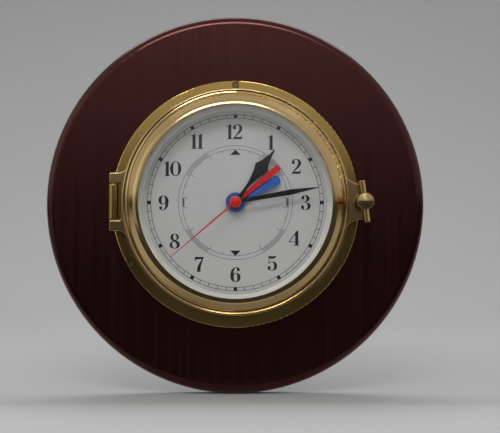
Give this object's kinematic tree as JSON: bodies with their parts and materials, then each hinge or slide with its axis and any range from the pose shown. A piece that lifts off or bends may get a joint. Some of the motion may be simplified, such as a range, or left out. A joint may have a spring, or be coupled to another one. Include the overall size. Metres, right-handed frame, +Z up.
{
  "type": "tide clock",
  "caption": "Round wall tide clock: brass porthole case with hinged glazed bezel and screw latch, quartz movement with tide train and coloured hands, on a round wooden board.",
  "frame": {"origin": "centre of the board's back, on the wall plane", "axes": "+Z up, +X towards 3 o'clock, +Y into the wall, so the dial faces -Y"},
  "size_m": [0.28, 0.0668, 0.28],
  "materials": {
    "mahogany": "satin lacquer",
    "brass": "polished and lacquered",
    "screw_brass": "polished",
    "plated_steel": "satin",
    "glass": "clear",
    "rubber": "matt",
    "dial_paint": "matt",
    "black_paint": "satin",
    "red_paint": "satin",
    "blue_paint": "satin",
    "black_plastic": "moulded",
    "gear_plastic": "moulded",
    "copper": "enamelled wire",
    "circuit": "satin",
    "battery": "satin"
  },
  "bodies": {
    "case_body": {"board": "mahogany", "hanger_plate": "plated_steel", "hanger_screws": "plated_steel", "case": "brass", "flange_screws": "screw_brass", "hinge_pin": "brass", "dial": "dial_paint", "dial_ring": "dial_paint", "dial_screws": "plated_steel", "front_plate": "black_plastic", "dial_washer": "rubber", "dial_nut": "brass", "middle_plate": "black_plastic", "train_bridge": "black_plastic", "rear_cover": "black_plastic", "housing_screws": "plated_steel", "stator": "plated_steel", "coil": "copper", "circuit_board": "circuit", "crystal": "plated_steel", "battery": "battery", "battery_contacts": "plated_steel"},
    "door": {"bezel": "brass", "glass": "glass", "glass_gasket": "rubber", "glass_ring": "brass"},
    "latch_retainer": {"latch_clip": "plated_steel"},
    "latch_knob": {"latch_screw": "brass", "cross_bar": "brass"},
    "minute_train": {"minute_pinion": "gear_plastic", "minute_hand": "black_paint", "minute_nut": "plated_steel"},
    "setting_train": {"minute_wheel": "gear_plastic", "setting_knob": "gear_plastic"},
    "hour_train": {"hour_wheel": "gear_plastic", "hour_hand": "black_paint"},
    "idler_train": {"tide_idler": "gear_plastic"},
    "tide_train": {"tide_wheel": "gear_plastic", "tide_hand": "blue_paint"},
    "marker": {"marker_hand": "red_paint"},
    "second_train": {"second_wheel": "gear_plastic", "second_hand": "red_paint", "second_cap": "red_paint"},
    "third_train": {"third_wheel": "gear_plastic"},
    "motor_rotor": {"rotor": "plated_steel"}
  },
  "joints": [
    {"name": "door_hinge", "type": "hinge", "parent": "case_body", "child": "door", "pos_m": [-0.0867, -0.0519, 0], "axis": [0, 0, -1], "range_deg": [0, 110]},
    {"name": "latch_travel", "type": "slide", "parent": "door", "child": "latch_retainer", "axis": [0, -1, 0], "range_m": [0, 0.003]},
    {"name": "latch_turn", "type": "hinge", "parent": "latch_retainer", "child": "latch_knob", "pos_m": [0.0911, -0.05, 0], "axis": [0, -1, 0], "range_deg": [0, 1440]},
    {"name": "minute_spin", "type": "hinge", "parent": "case_body", "child": "minute_train", "pos_m": [0, -0.03, 0], "axis": [0, 1, 0], "continuous": true},
    {"name": "setting_spin", "type": "hinge", "parent": "case_body", "child": "setting_train", "pos_m": [-0.0096, -0.03, 0], "axis": [0, 1, 0], "continuous": true},
    {"name": "hour_spin", "type": "hinge", "parent": "case_body", "child": "hour_train", "pos_m": [0, -0.03, 0], "axis": [0, 1, 0], "continuous": true},
    {"name": "idler_spin", "type": "hinge", "parent": "case_body", "child": "idler_train", "pos_m": [0, -0.03, 0.01482], "axis": [0, 1, 0], "continuous": true},
    {"name": "tide_spin", "type": "hinge", "parent": "case_body", "child": "tide_train", "pos_m": [0, -0.03, 0], "axis": [0, 1, 0], "continuous": true},
    {"name": "marker_spin", "type": "hinge", "parent": "case_body", "child": "marker", "pos_m": [0, -0.03, 0], "axis": [0, 1, 0], "continuous": true},
    {"name": "second_spin", "type": "hinge", "parent": "case_body", "child": "second_train", "pos_m": [0, -0.03, 0], "axis": [0, 1, 0], "continuous": true},
    {"name": "third_spin", "type": "hinge", "parent": "case_body", "child": "third_train", "pos_m": [0.0076, -0.03, 0], "axis": [0, 1, 0], "continuous": true},
    {"name": "rotor_spin", "type": "hinge", "parent": "case_body", "child": "motor_rotor", "pos_m": [0.0148, -0.03, 0], "axis": [0, 1, 0], "continuous": true}
  ],
  "couplings": [
    {"joint": "latch_travel", "follows": "latch_turn", "m_per_rad": 0.00011937},
    {"joint": "setting_spin", "follows": "minute_spin", "ratio": -0.33333},
    {"joint": "hour_spin", "follows": "minute_spin", "ratio": 0.083333},
    {"joint": "idler_spin", "follows": "minute_spin", "ratio": -0.25},
    {"joint": "tide_spin", "follows": "minute_spin", "ratio": 0.080508},
    {"joint": "third_spin", "follows": "second_spin", "ratio": -3.75},
    {"joint": "rotor_spin", "follows": "second_spin", "ratio": 30}
  ]
}
